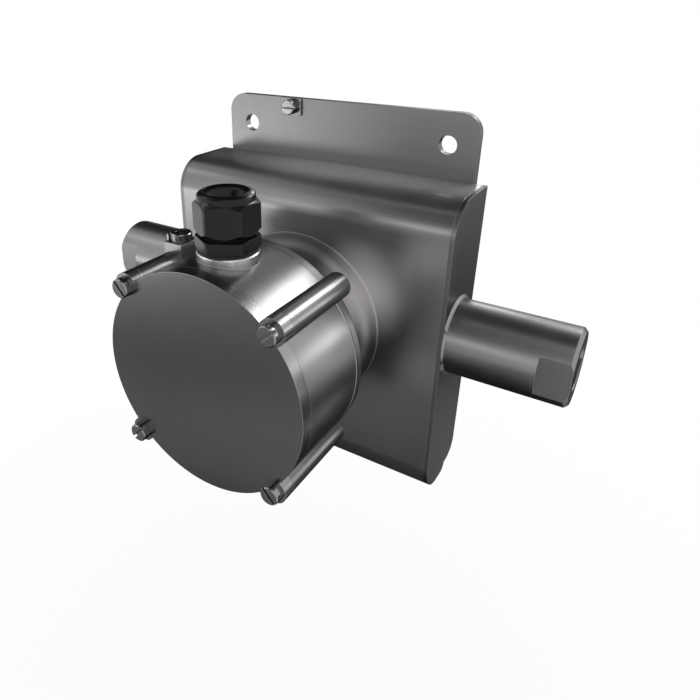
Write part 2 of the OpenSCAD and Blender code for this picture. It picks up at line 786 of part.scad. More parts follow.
module sensor_wires() color("firebrick") {
    rim = coil_d / 2 + wire_r;
    lead([0, loop_z + rim], floor(pin_count / 2));
    lead([-leg_x + rim, pickoff_z], floor(pin_count / 2) + 1);
    lead([leg_x - rim, pickoff_z], floor(pin_count / 2) - 1);
}

// ---- Inside the terminal housing ----

standoff_tail_r = 2;
standoff_tail = 2;
standoff_af = 6;
board_screw_r = 1.5;
board_screw_len = 4;      // below the board
board_head_r = 2.75;
board_head_h = 2;

module board_standoffs() color("silver") for (p = standoff_places)
    translate([p.x, 0, p.y]) difference() {
        union() {
            at_depth(floor_depth) hexagon(standoff_af, standoff_len);
            at_depth(floor_depth - standoff_tail)
                cylinder(h = standoff_tail + cut / 2, r = standoff_tail_r);
        }
        at_depth(floor_depth) cylinder(h = standoff_len + cut, r = board_screw_r);
    }

module circuit_board() color("darkgreen") difference() {
    at_depth(board_back) cylinder(h = board_t, r = board_r);
    for (p = standoff_places) translate([p.x, 0, p.y]) at_depth(board_back - cut)
        cylinder(h = board_t + 2 * cut, r = board_screw_r + slip_gap);
}

module board_screws() color("lightgray") for (p = standoff_places)
    translate([p.x, 0, p.y]) at_depth(board_front) {
        cylinder(h = board_head_h, r = board_head_r);
        translate([0, 0, -board_t - board_screw_len])
            cylinder(h = board_t + board_screw_len + board_head_h / 2, r = board_screw_r - run_gap);
    }

block_end = 1;            // plastic past the outer terminals
block_w = terminal_count * terminal_pitch + 2 * block_end;
block_z = 2;              // lower side of the terminal block
block_len = 10;           // its size along Z
entry_r = 1.6;            // wire entries
entry_depth = 4.6;
entry_z = 3;
clamp_screw_r = 1.9;
clamp_screw_h = 2.4;
clamp_slot_w = 0.6;
clamp_slot_depth = 0.8;
clamp_recess = 3;

function terminal_x(i) = (i - (terminal_count - 1) / 2) * terminal_pitch;

module terminal_block() color("darkseagreen") difference() {
    translate([-block_w / 2, 0, block_z]) at_depth(board_front)
        cube([block_w, block_len, terminal_h]);
    for (i = [0 : terminal_count - 1]) {
        translate([terminal_x(i), -board_front - entry_depth, block_z + entry_z])
            cylinder(h = block_len, r = entry_r);
        translate([terminal_x(i), 0, block_z + block_len / 2])
            at_depth(board_front + terminal_h - clamp_recess)
                cylinder(h = clamp_recess + cut, r = clamp_screw_r + slip_gap);
    }
}

module terminal_screws() color("silver") for (i = [0 : terminal_count - 1])
    translate([terminal_x(i), 0, block_z + block_len / 2])
        at_depth(board_front + terminal_h - clamp_recess) difference() {
            cylinder(h = clamp_screw_h, r = clamp_screw_r);
            translate([-clamp_screw_r - cut, -clamp_slot_w / 2, clamp_screw_h - clamp_slot_depth])
                cube([2 * (clamp_screw_r + cut), clamp_slot_w, clamp_slot_depth + cut]);
        }

module_w = 22;
module_l = 13;
module_t = 5;
module_drop = 24;         // its lower side below the axis

module memory_module() color("navy") translate([-module_w / 2, 0, -module_drop])
    at_depth(board_front) cube([module_w, module_l, module_t]);

mounting_plate();
bonding_pad();
bonding_screw();
case_back();
case_cover();
mirror([1, 0, 0]) case_side();  // case_side_left
case_side();  // case_side_right
mirror([1, 0, 0]) connection();  // connection_left
connection();  // connection_right
housing_neck();
rear_cap();
housing_tube();
lid_posts();
lid();
lid_o_ring();
cover_screw(-1, 1, slot_angles[0]);  // cover_screw_top_left
cover_screw(1, 1, slot_angles[1]);  // cover_screw_top_right
cover_screw(-1, -1, slot_angles[2]);  // cover_screw_bottom_left
cover_screw(1, -1, slot_angles[3]);  // cover_screw_bottom_right
gland_boss();
gland_washer();
gland_body();
gland_seal();
gland_nut();
earth_block();
earth_clamp();
earth_screw();
tube_anchors();
measuring_tube();
magnet_holders();
magnets();
coil_frame();
coils();
temperature_sensor();
sensor_band();
sensor_wires();
feedthrough();
feedthrough_pins();
board_standoffs();
circuit_board();
board_screws();
terminal_block();
terminal_screws();
memory_module();
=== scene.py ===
# Wall-mounted Coriolis flow meter: finishes, threads, weld beads, studio and camera
import json
import math
import bpy
from mathutils import Matrix, Vector


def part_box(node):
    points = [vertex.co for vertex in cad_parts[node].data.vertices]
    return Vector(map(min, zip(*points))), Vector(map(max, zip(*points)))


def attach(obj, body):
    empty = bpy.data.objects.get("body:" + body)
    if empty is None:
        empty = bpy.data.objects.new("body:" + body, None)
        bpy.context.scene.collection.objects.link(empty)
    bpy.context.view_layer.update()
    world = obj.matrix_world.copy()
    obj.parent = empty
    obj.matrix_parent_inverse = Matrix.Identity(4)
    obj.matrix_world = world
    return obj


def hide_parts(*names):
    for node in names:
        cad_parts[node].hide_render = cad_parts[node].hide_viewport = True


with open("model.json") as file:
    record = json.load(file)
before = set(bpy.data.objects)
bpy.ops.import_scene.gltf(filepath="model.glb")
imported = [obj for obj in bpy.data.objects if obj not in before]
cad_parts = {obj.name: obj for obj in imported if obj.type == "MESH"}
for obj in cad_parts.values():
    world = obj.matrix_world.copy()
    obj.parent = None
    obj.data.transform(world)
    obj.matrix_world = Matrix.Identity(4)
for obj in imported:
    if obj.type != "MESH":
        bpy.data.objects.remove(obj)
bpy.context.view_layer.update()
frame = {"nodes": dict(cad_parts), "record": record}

mm = 0.001


class Signal:  # a node's output that can be used in plain arithmetic
    def __init__(self, nodes, socket):
        self.nodes = nodes
        self.socket = socket

    def output(self, key):  # another output of the same node, by name or index
        return Signal(self.nodes, self.socket.node.outputs[key])

    def maths(self, operation, *values):
        return self.nodes.add("Math", {"operation": operation}, dict(enumerate(values)))

    def __add__(self, other):
        return self.maths("ADD", self, other)

    def __radd__(self, other):
        return self.maths("ADD", other, self)

    def __sub__(self, other):
        return self.maths("SUBTRACT", self, other)

    def __rsub__(self, other):
        return self.maths("SUBTRACT", other, self)

    def __mul__(self, other):
        return self.maths("MULTIPLY", self, other)

    def __rmul__(self, other):
        return self.maths("MULTIPLY", other, self)

    def scaled(self, factor):  # a vector times a number
        return self.nodes.add("VectorMath", {"operation": "SCALE"}, {0: self, "Scale": factor})

    def __pow__(self, other):
        return self.maths("POWER", self, other)


class Nodes:  # a node tree whose nodes are added one call at a time
    def __init__(self, tree):
        self.tree = tree
        tree.nodes.clear()

    def add(self, kind, settings=None, sockets=None):
        node = self.tree.nodes.new("ShaderNode" + kind)
        for key, value in (settings or {}).items():
            if key == "stops":
                self.setRamp(node.color_ramp, value)
            else:
                setattr(node, key, value)
        for key, value in (sockets or {}).items():
            if isinstance(value, Signal):
                self.tree.links.new(value.socket, node.inputs[key])
            else:
                node.inputs[key].default_value = value
        return Signal(self, node.outputs[0]) if node.outputs else node

    def setRamp(self, ramp, stops):
        while len(ramp.elements) < len(stops):
            ramp.elements.new(1.0)
        for element, (place, shade) in zip(ramp.elements, stops):
            element.position = place
            element.color = (shade, shade, shade, 1)

    def place(self):  # object coordinates in millimetres
        return self.add("TexCoord").output("Object").scaled(1 / mm)

    def split(self, vector):
        separate = self.add("SeparateXYZ", {}, {"Vector": vector})
        return {axis: separate.output(axis) for axis in "XYZ"}

    def noise(self, vector, stretch=(1, 1, 1), scale=1, detail=3):
        mapped = self.add("Mapping", {}, {"Vector": vector, "Scale": stretch})
        return self.add("TexNoise", {}, {"Vector": mapped, "Scale": scale, "Detail": detail})

    def blend(self, dark, light, factor):
        return self.overlay((*dark, 1), light, factor)

    def overlay(self, under, over, factor):  # a plain colour laid over another by a factor
        settings = {"data_type": "RGBA", "clamp_factor": True}
        return self.add("Mix", settings, {0: factor, 6: under, 7: (*over, 1)}).output(2)  # colour sockets

    def rings(self, axis, centre):  # radius and place along an axis, drifting slowly round it
        shift = [-c / mm for c in centre]
        centred = self.add("Mapping", {}, {"Vector": self.place(), "Location": shift})
        parts = self.split(centred)
        along = parts.pop(axis)
        a, b = parts.values()
        radius = (a * a + b * b) ** 0.5
        drift = 1.5  # how far the pattern wanders over one turn, in millimetres
        return self.add("CombineXYZ", {}, {
            "X": radius + a * drift * radius ** -1, "Y": along, "Z": b * drift * radius ** -1})

    def finish(self, sockets):
        shader = self.add("BsdfPrincipled", {}, sockets)
        self.add("OutputMaterial", {}, {"Surface": shader})


def newMaterial(name):
    material = bpy.data.materials.new(name)
    material.use_nodes = True
    return material, Nodes(material.node_tree)


def tinted(colour, factor):
    return tuple(c * factor for c in colour)


grainStretch = {"alongX": (0.015, 1, 1), "alongY": (1, 0.015, 1), "alongZ": (1, 1, 0.015)}
# how every finish is drawn: contrast of the streaks, stains, relief and softened edges
drawing = {"contrast": (0.3, 0.7), "stainScale": 6, "reliefDepth": 0.02 * mm, "edgeSamples": 4}
# how a patch of painted highlight fades out: start and end of the fade, its wander and the loss of metal
# shine
highlightFade = {"fadeFrom": 0.2, "fadeTo": 1.3, "wander": 0.8, "metalLoss": 0.75}


def softRelief(nodes, height, look):  # softened edges with a fine relief on them
    softEdge = nodes.add("Bevel", {"samples": drawing["edgeSamples"]}, {"Radius": look["edge"]})
    return nodes.add("Bump", {}, {"Height": height, "Strength": look["relief"],
                                  "Distance": drawing["reliefDepth"], "Normal": softEdge})


def steel(name, look):
    material, nodes = newMaterial(name)
    place = nodes.place()
    if "axis" in look:
        grain = nodes.noise(nodes.rings(look["axis"], look["centre"]), scale=look["grain"])
    else:
        grain = nodes.noise(place, grainStretch[look["run"]], look["grain"])
    cloud = nodes.noise(place, scale=look["cloud"], detail=2)
    stain = nodes.noise(place, scale=look["cloud"] * drawing["stainScale"], detail=4)
    mask = grain * look["streak"] + cloud * (1 - look["streak"])
    dark, light = [tinted(look["colour"], 1 + look["spread"] * sign) for sign in (-1, 1)]
    contrast = nodes.add("ValToRGB", {"stops": list(zip(drawing["contrast"], (0, 1)))}, {0: mask})
    colour = nodes.blend(dark, light, contrast)
    roughness = look["roughness"] + (stain - 0.5) * look["smear"] + (grain - 0.5) * look["smear"]
    metallic = look["metallic"]
    # painted highlight: pale, less metallic patches laid into the colour where the steel should look lit
    if "zones" in look:
        paintedLight = 0.0
        for centre, reach, strength in look["zones"].values():
            offset = nodes.add("VectorMath", {"operation": "SUBTRACT"}, {0: place, 1: centre})
            offset = nodes.add("VectorMath", {"operation": "DIVIDE"}, {0: offset, 1: reach})
            distance = nodes.add("VectorMath", {"operation": "LENGTH"}, {0: offset}).output("Value")
            paintedLight = nodes.add("MapRange", {"interpolation_type": "SMOOTHSTEP"}, {
                "Value": distance + (cloud - 0.5) * highlightFade["wander"], "From Min": highlightFade["fadeFrom"],
                "From Max": highlightFade["fadeTo"], "To Min": strength, "To Max": 0.0}) + paintedLight
        colour = nodes.overlay(colour, look["highlightPaintTone"], paintedLight)
        metallic = metallic - paintedLight * highlightFade["metalLoss"]
    if "rimHighlightPaint" in look:  # painted highlight: the lid's side and outer edge coloured lighter than its face
        parts = nodes.split(place)
        radius = (parts["X"] * parts["X"] + parts["Z"] * parts["Z"]) ** 0.5
        edge = radius.maths("GREATER_THAN", radius, look["faceRadius"])
        side = radius.maths("GREATER_THAN", parts["Y"], look["faceDepth"])
        rim = radius.maths("MAXIMUM", edge, side)
        colour = nodes.overlay(colour, look["rimHighlightPaint"], rim)
        roughness = roughness + rim * look["rimRoughness"]
    nodes.finish({"Base Color": colour, "Metallic": metallic, "Roughness": roughness,
                  "Specular Tint": (*[look["grazing"]] * 3, 1), "Normal": softRelief(nodes, grain, look)})
    return material


def plastic(name, look):
    material, nodes = newMaterial(name)
    place = nodes.place()
    cloud = nodes.noise(place, scale=look["cloud"], detail=3)
    pores = nodes.noise(place, scale=look["pores"], detail=2)
    dark, light = [tinted(look["colour"], 1 + look["spread"] * sign) for sign in (-1, 1)]
    roughness = look["roughness"] + (cloud - 0.5) * look["smear"]
    nodes.finish({"Base Color": nodes.blend(dark, light, cloud), "Roughness": roughness,
                  "Normal": softRelief(nodes, pores, look), "IOR": look["ior"],
                  "Coat Weight": look["coat"], "Coat Roughness": look["coatRoughness"]})
    return material


record = frame["record"]
mounts = {mount["name"]: Vector(mount["pos_m"]) for mount in record["mounts"]}
pipeAxis = mounts["pipe_right"]
glandAxis = mounts["cable_entry"]
housingAxis = Vector((0, 0, 0))
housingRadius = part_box("housing_tube")[1][0] / mm
lidDepth = -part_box("lid")[0][1] / mm
lidRim = {"width": 0.2, "depth": 0.3}  # the lid's edge band with painted highlight: its width and depth

# "grazing" is how much a flat look along the steel still brightens it
plain = {"cloud": 0.02, "streak": 0.4, "spread": 0.07, "smear": 0.05, "relief": 0.06, "edge": 0.3 * mm,
         "grazing": 0.35, "metallic": 1.0}
sheet = {**plain, "run": "alongX", "grain": 1.4, "relief": 0.09}
turned = {**plain, "axis": "Y", "centre": housingAxis, "grain": 1.2}
# painted highlights: patches coloured paler and less metallic where the steel should look lit: centre,
# reach and strength
paleHighlightPaint = (0.85, 0.82, 0.85)
paintedHighlights = {
    "topFlange": ((8, -14, 70), (92, 20, 10), 0.6),
    "neckHighlight": ((36, -40, 23), (24, 30, 22), 1.0),
    "upperRight": ((62, -38, 45), (16, 12, 14), 0.2),
    "lowerRight": ((66, -38, -8), (14, 12, 14), 0.1),
    "upperFront": ((4, -40, 46), (60, 30, 16), 0.19),
}
# painted highlight on the housing's right side: centre, reach and strength
paintedHousingHighlight = {"rightSideHighlight": ((47, -86, 18), (14, 34, 12), 0.6)}
steelLooks = {
    "plateSteel": {**sheet, "colour": (0.25, 0.242, 0.25), "roughness": 0.36},
    "padSteel": {**sheet, "run": "alongZ", "colour": (0.22, 0.213, 0.22), "roughness": 0.25},
    "caseSteel": {**sheet, "colour": (0.25, 0.243, 0.25), "roughness": 0.3, "metallic": 0.86,
                  "zones": paintedHighlights, "highlightPaintTone": paleHighlightPaint},
    # painted shade: the neck is coloured darker than the case steel round it
    "neckSteelPaintedShade": {**sheet, "run": "alongY", "colour": (0.11, 0.107, 0.11), "roughness": 0.5,
                  "edge": 0.12 * mm, "metallic": 0.7, "zones": paintedHighlights, "highlightPaintTone": paleHighlightPaint},
    "sideSteel": {**sheet, "run": "alongZ", "colour": (0.2, 0.194, 0.2), "roughness": 0.38},
    "housingSteel": {**turned, "colour": (0.29, 0.282, 0.29), "roughness": 0.3, "relief": 0.015,
                     "streak": 0.25, "zones": paintedHousingHighlight, "highlightPaintTone": paleHighlightPaint},
    "lidSteel": {**turned, "colour": (0.23, 0.224, 0.232), "roughness": 0.22, "spread": 0.05,
                 "relief": 0.03, "smear": 0.03, "rimHighlightPaint": (0.33, 0.322, 0.33), "rimRoughness": 0.04,
                 "faceRadius": housingRadius - lidRim["width"], "faceDepth": lidRim["depth"] - lidDepth},
    "pipeSteel": {**turned, "axis": "X", "centre": pipeAxis, "colour": (0.27, 0.263, 0.27),
                  "roughness": 0.34, "relief": 0.02, "streak": 0.25},
    "spudSteel": {**turned, "axis": "X", "centre": pipeAxis, "colour": (0.3, 0.292, 0.3),
                  "roughness": 0.38},
    "bossSteel": {**turned, "axis": "Z", "centre": glandAxis, "colour": (0.75, 0.73, 0.75),
                  "roughness": 0.28},
    "beadSteel": {**plain, "run": "alongY", "grain": 1.5, "colour": (0.4, 0.39, 0.4), "roughness": 0.3,
                  "relief": 0.2},
    "postSteel": {**plain, "run": "alongY", "grain": 2.0, "colour": (0.26, 0.253, 0.26), "roughness": 0.3,
                  "relief": 0.01, "streak": 0.2},
    "screwSteel": {**plain, "run": "alongX", "grain": 2.5, "colour": (0.3, 0.29, 0.3), "roughness": 0.2},
    "earthSteel": {**sheet, "colour": (0.34, 0.33, 0.34), "roughness": 0.3, "relief": 0.03,
                   "streak": 0.2},
    "tubeSteel": {**sheet, "colour": (0.42, 0.43, 0.44), "roughness": 0.28},
    "feedSteel": {**turned, "colour": (0.34, 0.34, 0.35), "roughness": 0.35},
    "magnetNickel": {**plain, "run": "alongZ", "grain": 2.0, "colour": (0.6, 0.58, 0.54),
                     "roughness": 0.15},
    "copperWire": {**turned, "colour": (0.62, 0.24, 0.1), "roughness": 0.3, "grain": 3.0,
                   "relief": 0.6},
    "pinGilt": {**plain, "run": "alongY", "grain": 2.0, "colour": (0.8, 0.56, 0.2), "roughness": 0.2},
}
soft = {"cloud": 0.08, "pores": 2.5, "spread": 0.15, "smear": 0.1, "relief": 0.2, "edge": 0.3 * mm,
        "ior": 1.5, "coat": 0.0, "coatRoughness": 0.05}
plasticLooks = {
    "glandPlastic": {**soft, "colour": (0.007, 0.007, 0.008), "roughness": 0.26, "relief": 0.05,
                     "ior": 1.36},
    "sealRubber": {**soft, "colour": (0.02, 0.02, 0.021), "roughness": 0.7, "pores": 4.0},
    "wirePlastic": {**soft, "colour": (0.45, 0.05, 0.04), "roughness": 0.45},
    "boardResist": {**soft, "colour": (0.015, 0.14, 0.05), "roughness": 0.35, "coat": 0.4},
    "terminalPlastic": {**soft, "colour": (0.12, 0.34, 0.17), "roughness": 0.5},
    "modulePlastic": {**soft, "colour": (0.03, 0.04, 0.09), "roughness": 0.45},
}
finishes = {name: steel(name, look) for name, look in steelLooks.items()}
finishes.update({name: plastic(name, look) for name, look in plasticLooks.items()})

nodeFinish = {
    "plateSteel": ["mounting_plate"],
    "padSteel": ["bonding_pad"],
    "caseSteel": ["case_cover", "case_back"],
    "neckSteelPaintedShade": ["housing_neck"],
    "sideSteel": ["case_side_left", "case_side_right"],
    "housingSteel": ["rear_cap", "housing_tube"],
    "lidSteel": ["lid"],
    "pipeSteel": ["connection_left", "connection_right"],
    "bossSteel": ["gland_boss"],
    "postSteel": ["lid_posts"],
    "screwSteel": ["cover_screw_top_left", "cover_screw_top_right", "cover_screw_bottom_left",
                   "cover_screw_bottom_right", "earth_screw", "bonding_screw", "board_screws",
                   "terminal_screws"],
    "earthSteel": ["earth_block", "earth_clamp"],
    "tubeSteel": ["measuring_tube", "magnet_holders", "tube_anchors", "coil_frame", "sensor_band",
                  "temperature_sensor", "board_standoffs"],
    "feedSteel": ["feedthrough"],
    "magnetNickel": ["magnets"],
    "copperWire": ["coils"],
    "pinGilt": ["feedthrough_pins"],
    "glandPlastic": ["gland_body", "gland_nut"],
    "sealRubber": ["gland_washer", "gland_seal", "lid_o_ring"],
    "wirePlastic": ["sensor_wires"],
    "boardResist": ["circuit_board"],
    "terminalPlastic": ["terminal_block"],
    "modulePlastic": ["memory_module"],
}
for finishName, nodeNames in nodeFinish.items():
    for nodeName in nodeNames:
        frame["nodes"][nodeName].data.materials.clear()
        frame["nodes"][nodeName].data.materials.append(finishes[finishName])
bare = set(frame["nodes"]) - {n for names in nodeFinish.values() for n in names}
print("finishes set, nodes without one:", sorted(bare))


# modelling helpers: a primitive is added, shaped in edit mode and finished with modifiers
merging = {"piece": 0.0005 * mm, "cadCopy": 0.001 * mm}


def deselectAll():
    bpy.ops.object.select_all(action="DESELECT")


def started(name):  # the new primitive, with its place in its mesh
    piece = bpy.context.object
    piece.name = piece.data.name = name
    bpy.ops.object.transform_apply(location=True, rotation=True, scale=True)
    return piece


def everywhere(place):
    return True


def selectWhere(piece, test=everywhere):  # picks vertices by place, in millimetres, and enters edit mode
    bpy.ops.object.mode_set(mode="EDIT")
    bpy.ops.mesh.select_mode(type="VERT")
    bpy.ops.mesh.select_all(action="DESELECT")
    bpy.ops.object.mode_set(mode="OBJECT")
    for vertex in piece.data.vertices:
        vertex.select = bool(test(vertex.co / mm))
    bpy.ops.object.mode_set(mode="EDIT")


def leaveEdit():
    bpy.ops.object.mode_set(mode="OBJECT")


def only(piece):
    deselectAll()
    piece.select_set(True)
    bpy.context.view_layer.objects.active = piece


def applyModifier(piece, kind, settings):
    only(piece)
    modifier = piece.modifiers.new(kind.lower(), kind)
    for key, value in settings.items():
        setattr(modifier, key, value)
    bpy.ops.object.modifier_apply(modifier=modifier.name)


def finishPiece(piece, finishName, body, smoothAngle):
    only(piece)
    bpy.ops.object.mode_set(mode="EDIT")
    bpy.ops.mesh.select_all(action="SELECT")
    bpy.ops.mesh.remove_doubles(threshold=merging["piece"])
    bpy.ops.mesh.normals_make_consistent(inside=False)
    leaveEdit()
    bpy.ops.object.shade_smooth_by_angle(angle=math.radians(smoothAngle))
    piece.data.materials.clear()
    piece.data.materials.append(finishes[finishName])
    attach(piece, body)


def mergedCopy(nodeName):  # a closed copy of a CAD node that a finer piece is cut from
    piece = frame["nodes"][nodeName].copy()
    piece.data = piece.data.copy()
    bpy.context.scene.collection.objects.link(piece)
    piece.name = piece.data.name = nodeName + "Fine"
    only(piece)
    bpy.ops.object.mode_set(mode="EDIT")
    bpy.ops.mesh.select_all(action="SELECT")
    bpy.ops.mesh.remove_doubles(threshold=merging["cadCopy"])
    leaveEdit()
    bpy.ops.mesh.customdata_custom_splitnormals_clear()
    return piece


def addDrum(name, drum, radius, place, turn=(0, 0, 0)):  # a plain cylinder to cut with
    deselectAll()
    bpy.ops.mesh.primitive_cylinder_add(vertices=drum["sides"], radius=radius * mm,
                                        depth=drum["length"] * mm, location=place, rotation=turn)
    return started(name)


def cut(piece, operation, drum):
    applyModifier(piece, "BOOLEAN", {"operation": operation, "object": drum, "solver": "EXACT"})
    bpy.data.objects.remove(drum)


acrossDepth = (math.pi / 2, 0, 0)  # turns a cylinder's axis from Z to Y
alongPipe = (0, math.pi / 2, 0)  # and from Z to X


# weld bead around the seam between the rear cap and the housing's tube
seamBead = {"width": 1.1, "height": 0.16, "foot": 0.5, "round": 0.12, "roundSegments": 2, "sides": 180,
            "smoothAngle": 50}
seamPlace = (0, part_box("housing_tube")[1][1], 0)
beadRadius = housingRadius + seamBead["height"]
deselectAll()
bpy.ops.mesh.primitive_cylinder_add(vertices=seamBead["sides"], radius=beadRadius * mm,
                                    depth=seamBead["width"] * mm, end_fill_type="NOTHING",
                                    location=seamPlace, rotation=acrossDepth)
bead = started("seamBead")
selectWhere(bead)
bpy.ops.mesh.select_mode(type="EDGE")
bpy.ops.mesh.select_all(action="DESELECT")
bpy.ops.mesh.select_non_manifold()
bpy.ops.mesh.extrude_region_move()
sink = (housingRadius - seamBead["foot"]) / beadRadius
bpy.ops.transform.resize(value=(sink, 1, sink), center_override=seamPlace)
bpy.ops.mesh.bridge_edge_loops()
selectWhere(bead, lambda place: math.hypot(place.x, place.z) > housingRadius)
bpy.ops.mesh.select_mode(type="EDGE")
bpy.ops.mesh.bevel(offset=seamBead["round"] * mm, segments=seamBead["roundSegments"])
leaveEdit()
finishPiece(bead, "beadSteel", "base", seamBead["smoothAngle"])
print("seam bead modelled, faces:", len(bead.data.polygons))

# fillet weld where the gland's boss meets the round housing
bossWeld = {"leg": 0.35, "height": 0.3, "core": 1.0, "round": 0.15, "roundSegments": 3, "roundOver": 40,
            "sides": 160, "length": 20, "smoothAngle": 50}
outerDrum = {"sides": bossWeld["sides"], "length": 40}
innerDrum = {"sides": bossWeld["sides"], "length": 60}
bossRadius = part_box("gland_boss")[1][0] / mm
bossAxis = (0, glandAxis.y, 0)
bossFoot = (0, glandAxis.y, housingRadius * mm)
weld = addDrum("bossWeld", bossWeld, bossRadius + bossWeld["leg"], bossFoot)
cut(weld, "INTERSECT",
    addDrum("outer", outerDrum, housingRadius + bossWeld["height"], bossAxis, acrossDepth))
cut(weld, "DIFFERENCE",
    addDrum("inner", innerDrum, housingRadius - bossWeld["height"], bossAxis, acrossDepth))
cut(weld, "DIFFERENCE", addDrum("core", innerDrum, bossRadius - bossWeld["core"], bossFoot))
applyModifier(weld, "BEVEL", {"width": bossWeld["round"] * mm, "segments": bossWeld["roundSegments"],
                              "angle_limit": math.radians(bossWeld["roundOver"])})
finishPiece(weld, "beadSteel", "base", bossWeld["smoothAngle"])
print("boss weld cut to the round housing, faces:", len(weld.data.polygons))

# fillet weld round each connection where it leaves the case's side, kept behind the case's front
spudWeld = {"leg": 1.6, "height": 1.2, "sink": 0.4, "round": 0.3, "roundSegments": 3, "roundOver": 30,
            "sides": 128, "behind": 0.6, "smoothAngle": 50}
spudCore = {"sides": bossWeld["sides"], "length": 10}
spudRadius = (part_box("connection_right")[1][2] - pipeAxis.z) / mm
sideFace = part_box("case_side_right")[1][0] / mm
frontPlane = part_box("case_cover")[0][1] + spudWeld["behind"] * mm
tall = spudWeld["height"] + spudWeld["sink"]
deselectAll()
bpy.ops.mesh.primitive_cone_add(
    vertices=spudWeld["sides"], radius1=(spudRadius + spudWeld["leg"]) * mm, radius2=spudRadius * mm,
    depth=tall * mm, rotation=alongPipe,
    location=((sideFace - spudWeld["sink"] + tall / 2) * mm, pipeAxis.y, pipeAxis.z))
weld = started("spudWeldRight")
selectWhere(weld)
bpy.ops.mesh.bisect(plane_co=(0, frontPlane, 0), plane_no=(0, -1, 0), use_fill=True, clear_outer=True)
leaveEdit()
cut(weld, "DIFFERENCE", addDrum("core", spudCore, spudRadius - spudWeld["sink"],
                                (sideFace * mm, pipeAxis.y, pipeAxis.z), alongPipe))
applyModifier(weld, "BEVEL", {"width": spudWeld["round"] * mm, "segments": spudWeld["roundSegments"],
                              "angle_limit": math.radians(spudWeld["roundOver"])})
mirrored = weld.copy()
mirrored.data = weld.data.copy()
mirrored.name = mirrored.data.name = "spudWeldLeft"
bpy.context.scene.collection.objects.link(mirrored)
only(mirrored)
selectWhere(mirrored)
bpy.ops.transform.resize(value=(-1, 1, 1), center_override=(0, 0, 0))
leaveEdit()
for piece in (weld, mirrored):
    finishPiece(piece, "spudSteel", "base", spudWeld["smoothAngle"])
print("spud welds modelled, faces each:", len(weld.data.polygons))

# gland nut with its mouth drawn in to a full round shoulder
nutShoulder = {"drawnIn": 0.88, "falloff": 2.3, "lip": 0.05, "band": 0.3, "margin": 0.1,
               "smoothAngle": 28}
nut = mergedCopy("gland_nut")
nutTop = max(vertex.co.z for vertex in nut.data.vertices) / mm


def fromGlandAxis(place):
    return math.hypot(place.x - glandAxis.x / mm, place.y - glandAxis.y / mm)


places = [vertex.co / mm for vertex in nut.data.vertices]
mouthRadius = min(fromGlandAxis(place) for place in places if place.z > nutTop - nutShoulder["lip"])
selectWhere(nut, lambda place: place.z > nutTop - nutShoulder["band"]
            and fromGlandAxis(place) < mouthRadius + nutShoulder["margin"])
bpy.ops.transform.resize(value=(nutShoulder["drawnIn"], nutShoulder["drawnIn"], 1),
                         center_override=(glandAxis.x, glandAxis.y, nutTop * mm),
                         use_proportional_edit=True, proportional_edit_falloff="SMOOTH",
                         proportional_size=nutShoulder["falloff"] * mm)
leaveEdit()
finishPiece(nut, "glandPlastic", "gland_nut", nutShoulder["smoothAngle"])
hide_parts("gland_nut")
print("nut's mouth drawn in from a radius of", round(mouthRadius, 2), "mm")

# G 1/2 threads cut into both connections
pipeThread = {"pitch": 1.814, "major": 20.955, "turns": 11, "steps": 48, "foot": 0.94, "slant": 0.96,
              "tip": 0.32, "past": 0.25, "smoothAngle": 12}


def moveAll(piece, offset):
    selectWhere(piece)
    bpy.ops.transform.translate(value=offset)
    leaveEdit()


def addHelix(name, thread):  # a triangle with a blunted tip, swept along a helix around X, to cut with
    deselectAll()
    corner = thread["pitch"] * thread["foot"] / math.sqrt(3)  # from the triangle's middle
    bpy.ops.mesh.primitive_circle_add(vertices=3, radius=corner * mm, fill_type="NOTHING")
    cutter = started(name)
    selectWhere(cutter)
    bpy.ops.transform.resize(value=(1, thread["slant"] / (math.sqrt(3) / 2), 1))
    leaveEdit()
    tipHeight = max(vertex.co.y for vertex in cutter.data.vertices) / mm
    selectWhere(cutter, lambda place: place.y > tipHeight / 2)
    bpy.ops.mesh.bevel(offset=thread["tip"] * mm, segments=1, affect="VERTICES")
    leaveEdit()
    edge = max(vertex.co.y for vertex in cutter.data.vertices)
    moveAll(cutter, (0, thread["major"] / 2 * mm - edge, 0))
    applyModifier(cutter, "SCREW", {"axis": "X", "screw_offset": thread["pitch"] * mm,
                                    "steps": thread["steps"], "render_steps": thread["steps"],
                                    "iterations": thread["turns"]})
    bpy.ops.object.mode_set(mode="EDIT")
    bpy.ops.mesh.select_all(action="SELECT")
    bpy.ops.mesh.remove_doubles(threshold=merging["cadCopy"])
    bpy.ops.mesh.fill_holes(sides=0)
    bpy.ops.mesh.select_all(action="SELECT")
    bpy.ops.mesh.normals_make_consistent(inside=False)
    leaveEdit()
    return cutter


for side, sign in (("right", 1), ("left", -1)):
    nodeName = "connection_" + side
    cutter = addHelix("threadCutter", pipeThread)
    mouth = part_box(nodeName)[1][0] if sign > 0 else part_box(nodeName)[0][0]
    reach = [vertex.co.x for vertex in cutter.data.vertices]
    end = max(reach) if sign > 0 else min(reach)
    moveAll(cutter, (mouth - end + sign * pipeThread["past"] * mm, pipeAxis.y, pipeAxis.z))
    piece = mergedCopy(nodeName)
    cut(piece, "DIFFERENCE", cutter)
    finishPiece(piece, "pipeSteel", "base", pipeThread["smoothAngle"])
    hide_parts(nodeName)
    print("threaded", piece.name, "faces:", len(piece.data.polygons))


studio = {"floorZ": -0.30, "floorRadius": 4.0, "floorSides": 96, "paper": 0.94, "worldFill": 0.5,
          "fadeFrom": 0.12, "fadeTo": 0.45, "shadowShare": 0.1, "cardSides": 32}
white = (1, 1, 1, 1)


